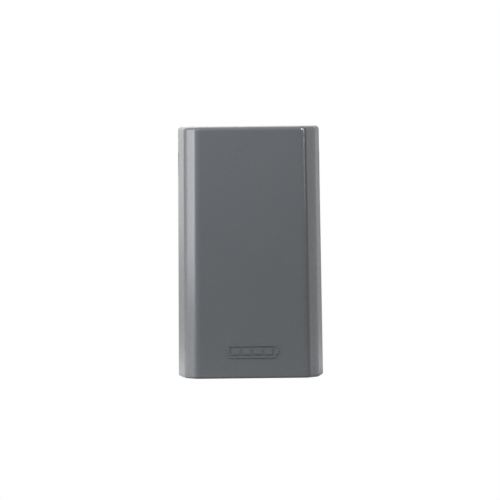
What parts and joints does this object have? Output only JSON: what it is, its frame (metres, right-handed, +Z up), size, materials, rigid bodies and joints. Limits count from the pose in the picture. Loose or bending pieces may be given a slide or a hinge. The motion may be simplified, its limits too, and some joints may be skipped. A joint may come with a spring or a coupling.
{
  "type": "wall battery unit",
  "caption": "Wall-hung low-voltage battery unit: moulded cover over a sealed cell case, with a connection bay behind a lift-off cover and a hook-on wall bracket.",
  "frame": {"origin": "centre of the bracket's wall face, halfway up the housing", "axes": "+Z up, +Y into the wall, +X to the right when facing the unit"},
  "size_m": [0.132, 0.0866, 0.228],
  "materials": {
    "cover": "satin, fine moulded grain",
    "case": "fine moulded grain",
    "bracket": "zinc plated",
    "rubber": "matt",
    "seal": "matt",
    "screw": "zinc plated",
    "cell": "blue wrapped aluminium can",
    "film": "insulating sheet",
    "foam": "closed-cell foam",
    "busbar": "nickel plated",
    "lead_black": "cable sheath",
    "lead_red": "cable sheath",
    "circuit_board": "solder mask",
    "component": "moulded package",
    "capacitor": "sleeved can",
    "terminal_green": "moulded",
    "plug": "moulded",
    "sink": "anodised",
    "coil": "enamelled copper winding",
    "wire": "wire insulation",
    "vent": "moulded",
    "block": "moulded",
    "clamp_metal": "plated",
    "lever": "moulded",
    "panel": "moulded",
    "switch_black": "moulded",
    "rocker": "moulded",
    "bezel": "plated",
    "button": "moulded",
    "spring": "spring wire",
    "lens": "clear moulded light guide",
    "lamp": "lamp body",
    "fuse": "blade fuse body",
    "fuse_cap": "moulded",
    "lock": "nickel plated"
  },
  "bodies": {
    "bracket": {"wall_bracket": "bracket"},
    "case": {"rear_case": "case", "wall_pads": "rubber", "case_seal": "seal", "case_lid": "case", "lid_screws": "screw", "battery_cell_1": "cell", "battery_cell_2": "cell", "battery_cell_3": "cell", "battery_cell_4": "cell", "cell_spacers": "film", "cell_base_pad": "foam", "cell_rear_pad": "film", "cell_front_pad": "foam", "busbars": "busbar", "terminal_nuts": "screw", "lead_negative": "lead_black", "lead_positive": "lead_red", "bms_board": "circuit_board", "small_screws": "screw", "bay_shroud": "case", "cable_plate": "case", "bay_chassis": "case", "board_transistors": "component", "board_capacitors": "capacitor", "board_chips": "component", "board_terminals": "terminal_green", "board_plugs": "plug", "heat_sink": "sink", "board_inductor": "coil", "wire_grommets": "rubber", "output_wires": "wire", "control_wires": "wire", "vent_plug": "vent", "terminal_block": "block", "terminal_clamps": "clamp_metal", "cable_grommets": "rubber", "cable_clamp": "panel", "control_panel": "panel", "bay_screws": "screw", "switch_frame": "switch_black", "button_bezel": "bezel", "button_spring": "spring", "status_lens": "lens", "status_board": "circuit_board", "status_lamps": "lamp", "fuse_holder": "switch_black", "blade_fuse": "fuse"},
    "cover": {"front_cover": "cover"},
    "lock": {"lock_barrel": "lock", "lock_cam": "lock", "lock_screw": "screw"},
    "rocker": {"switch_rocker": "rocker"},
    "button": {"test_button": "button"},
    "fuse_flap": {"fuse_cap": "fuse_cap"},
    "lever_1": {"terminal_lever_1": "lever"},
    "lever_2": {"terminal_lever_2": "lever"},
    "lever_3": {"terminal_lever_3": "lever"},
    "lever_4": {"terminal_lever_4": "lever"}
  },
  "joints": [
    {"name": "case_lift", "type": "slide", "parent": "bracket", "child": "case", "axis": [0, 0, 1], "range_m": [0, 0.012]},
    {"name": "cover_lift", "type": "slide", "parent": "case", "child": "cover", "axis": [0, 0, 1], "range_m": [0, 0.24]},
    {"name": "cover_lock", "type": "hinge", "parent": "case", "child": "lock", "pos_m": [0, -0.07, -0.108], "axis": [0, 0, -1], "range_deg": [0, 90]},
    {"name": "switch_rock", "type": "hinge", "parent": "case", "child": "rocker", "pos_m": [-0.014, -0.038, -0.0745], "axis": [0, 0, -1], "range_deg": [0, 20]},
    {"name": "button_press", "type": "slide", "parent": "case", "child": "button", "axis": [0, 1, 0], "range_m": [0, 0.002], "stiffness_N_per_m": 400, "springref_m": -0.001, "deforming": ["button_spring"]},
    {"name": "fuse_flap_open", "type": "hinge", "parent": "case", "child": "fuse_flap", "pos_m": [-0.037, -0.0457, -0.073], "axis": [-1, 0, 0], "range_deg": [0, 100]},
    {"name": "lever_1_open", "type": "hinge", "parent": "case", "child": "lever_1", "pos_m": [0.013, -0.0386, -0.0715], "axis": [-1, 0, 0], "range_deg": [0, 90]},
    {"name": "lever_2_open", "type": "hinge", "parent": "case", "child": "lever_2", "pos_m": [0.023, -0.0386, -0.0715], "axis": [-1, 0, 0], "range_deg": [0, 90]},
    {"name": "lever_3_open", "type": "hinge", "parent": "case", "child": "lever_3", "pos_m": [0.033, -0.0386, -0.0715], "axis": [-1, 0, 0], "range_deg": [0, 90]},
    {"name": "lever_4_open", "type": "hinge", "parent": "case", "child": "lever_4", "pos_m": [0.043, -0.0386, -0.0715], "axis": [-1, 0, 0], "range_deg": [0, 90]}
  ]
}
